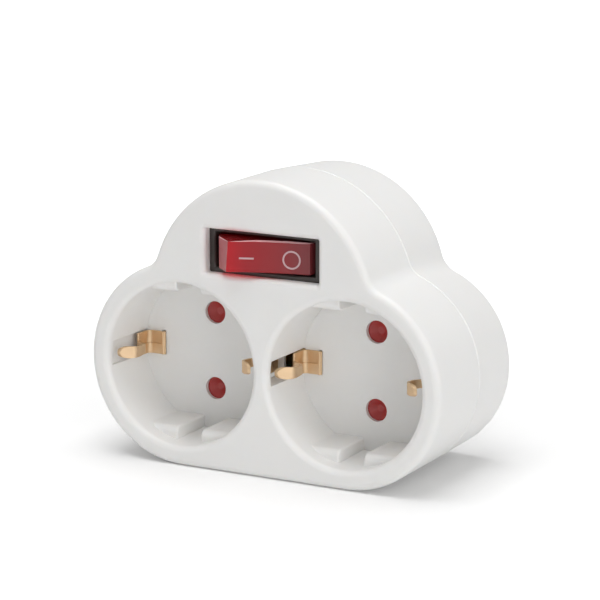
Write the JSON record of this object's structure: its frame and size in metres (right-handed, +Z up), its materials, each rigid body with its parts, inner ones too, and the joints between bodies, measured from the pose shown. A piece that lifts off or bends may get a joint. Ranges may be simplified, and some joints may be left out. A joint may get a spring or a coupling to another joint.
{
  "type": "multi socket adapter",
  "caption": "Wall adapter with an earthed round plug at the back, side-by-side recessed sockets with shutters, and an illuminated rocker switch above them.",
  "frame": {"origin": "middle of the flat base of the housing", "axes": "+Z up, -Y out of the socket face, +X to the right seen from the front"},
  "size_m": [0.0936, 0.0815, 0.0712],
  "materials": {
    "cover_plastic": "satin moulded white, light grain",
    "body_plastic": "satin moulded white, light grain",
    "insert_plastic": "matt moulded white",
    "plate_plastic": "matt moulded white",
    "switch_plastic": "matt moulded black",
    "rocker_plastic": "polished translucent red",
    "plunger_plastic": "matt moulded",
    "shutter_plastic": "satin moulded dark red",
    "pin_metal": "nickel-plated brass, turned",
    "plug_earth_metal": "nickel-plated strip",
    "earth_brass": "bright stamped brass",
    "bar_brass": "stamped brass",
    "spring_steel": "drawn wire",
    "screw_steel": "zinc-plated",
    "lamp_glass": "clear glass neon lamp",
    "resistor_body": "lacquered"
  },
  "bodies": {
    "housing": {"contact_lower_left": "bar_brass", "contact_lower_right": "bar_brass", "contact_upper_left": "bar_brass", "contact_upper_right": "bar_brass", "earth_link": "bar_brass", "earth_strap_left": "earth_brass", "earth_strap_right": "earth_brass", "front_cover": "cover_plastic", "housing_screws": "screw_steel", "lamp_bulb": "lamp_glass", "lamp_lead": "bar_brass", "lamp_resistor": "resistor_body", "live_lead": "bar_brass", "live_pin": "pin_metal", "neutral_bar": "bar_brass", "neutral_pin": "pin_metal", "plug_earth_bracket": "plug_earth_metal", "plug_insert": "insert_plastic", "rear_body": "body_plastic", "shutter_plate_left": "plate_plastic", "shutter_plate_right": "plate_plastic", "switch_frame": "switch_plastic", "switched_bar": "bar_brass", "terminal_input": "bar_brass", "terminal_lamp": "bar_brass", "terminal_output": "bar_brass"},
    "rocker_key": {"rocker": "rocker_plastic", "rocker_plunger": "plunger_plastic", "plunger_spring": "spring_steel"},
    "moving_contact": {"seesaw_contact": "bar_brass"},
    "left_shutter": {"shutter_left": "shutter_plastic", "shutter_spring_left": "spring_steel"},
    "right_shutter": {"shutter_right": "shutter_plastic", "shutter_spring_right": "spring_steel"}
  },
  "joints": [
    {"name": "rocker_tilt", "type": "hinge", "parent": "housing", "child": "rocker_key", "pos_m": [0, -0.01355, 0.05335], "axis": [0, 0, -1], "range_deg": [0, 35]},
    {"name": "seesaw_tilt", "type": "hinge", "parent": "housing", "child": "moving_contact", "pos_m": [0, -0.00625, 0.05335], "axis": [0, 0, 1], "range_deg": [0, 9]},
    {"name": "left_shutter_turn", "type": "hinge", "parent": "housing", "child": "left_shutter", "pos_m": [-0.022, -0.00125, 0.0248], "axis": [0, 1, 0], "range_deg": [0, 36], "stiffness_Nm_per_rad": 0.002, "springref_deg": -11.46},
    {"name": "right_shutter_turn", "type": "hinge", "parent": "housing", "child": "right_shutter", "pos_m": [0.022, -0.00125, 0.0248], "axis": [0, 1, 0], "range_deg": [0, 36], "stiffness_Nm_per_rad": 0.002, "springref_deg": -11.46}
  ],
  "couplings": [
    {"joint": "seesaw_tilt", "follows": "rocker_tilt", "ratio": 0.25714}
  ]
}
